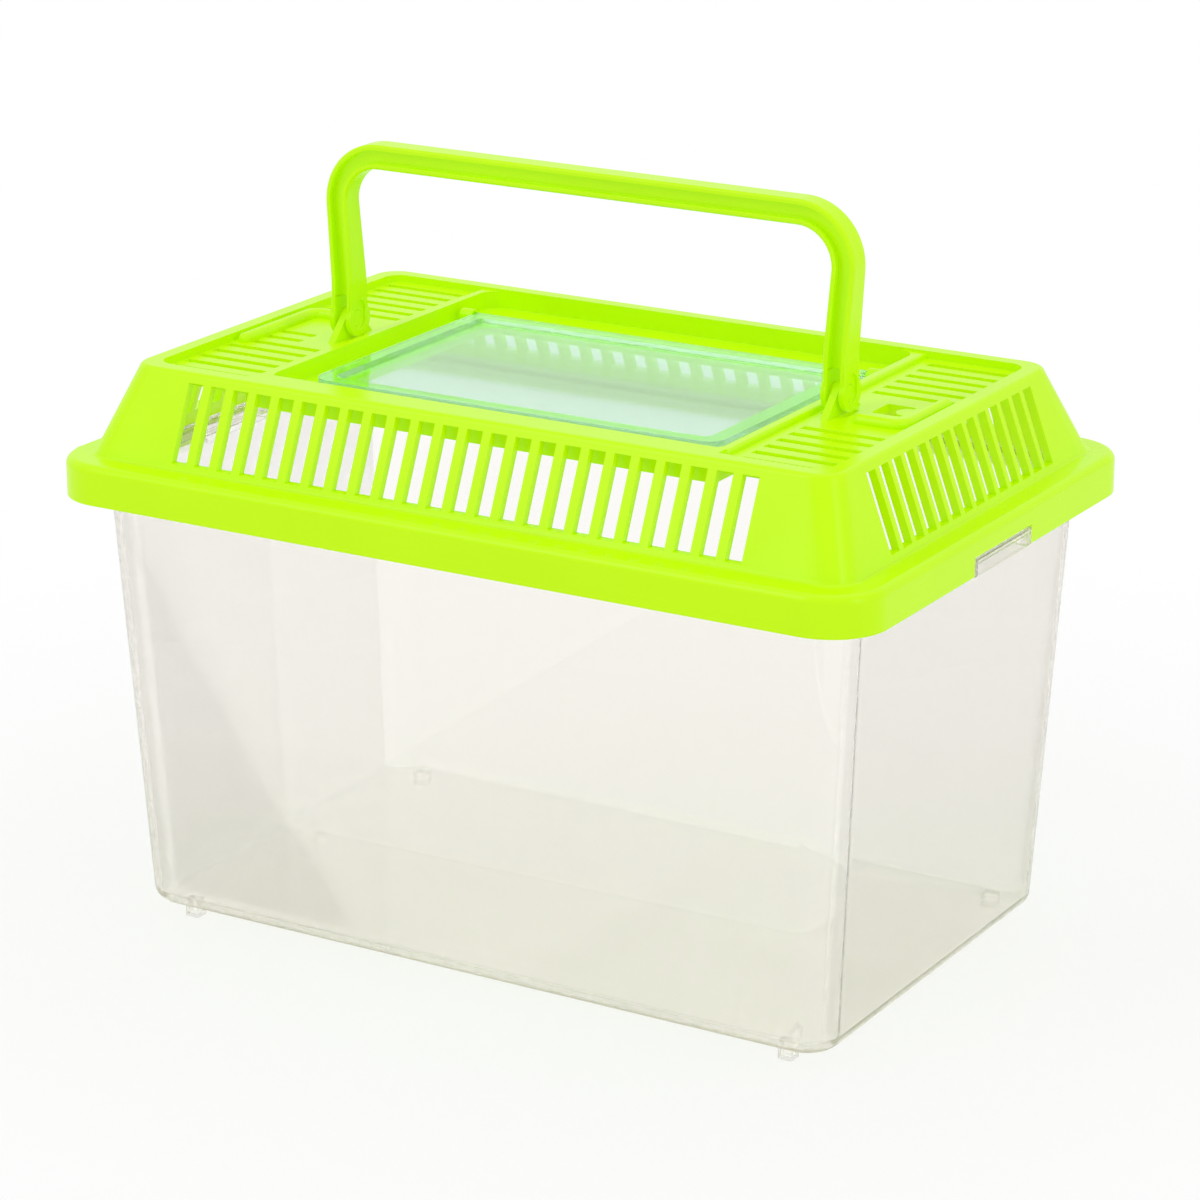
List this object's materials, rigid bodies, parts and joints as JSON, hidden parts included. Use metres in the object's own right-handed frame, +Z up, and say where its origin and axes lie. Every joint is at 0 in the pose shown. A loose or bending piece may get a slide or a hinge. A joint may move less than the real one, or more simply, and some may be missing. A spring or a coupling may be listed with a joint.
{
  "type": "small aquarium",
  "caption": "Small carry-about aquarium: clear drafted tub, slotted lift-off lid with a sloping canopy, clear hinged feeding hatch and a folding bail handle.",
  "frame": {"origin": "on the ground under the middle of the tub", "axes": "+X along the long side, +Y from the front long wall to the back one where the hatch is hinged, +Z up"},
  "size_m": [0.2326, 0.1534, 0.1997],
  "materials": {
    "clear_plastic": "clear moulded polystyrene, polished, with a faint warm tint at its edges",
    "lime_plastic": "opaque neon lime moulded plastic with a soft gloss",
    "clear_hatch": "clear moulded plastic with a faint green-blue tint"
  },
  "bodies": {
    "tub": {"tub": "clear_plastic"},
    "lid": {"lid": "lime_plastic"},
    "hatch": {"hatch": "clear_hatch"},
    "handle": {"handle": "lime_plastic"}
  },
  "joints": [
    {"name": "lid_lift", "type": "slide", "parent": "tub", "child": "lid", "axis": [0, 0, 1], "range_m": [0, 0.08]},
    {"name": "hatch_open", "type": "hinge", "parent": "lid", "child": "hatch", "pos_m": [0, 0.0384, 0.14555], "axis": [-1, 0, 0], "range_deg": [0, 45]},
    {"name": "handle_fold", "type": "hinge", "parent": "lid", "child": "handle", "pos_m": [0, -0.002, 0.1525], "axis": [1, 0, 0], "range_deg": [-90, 90]}
  ]
}
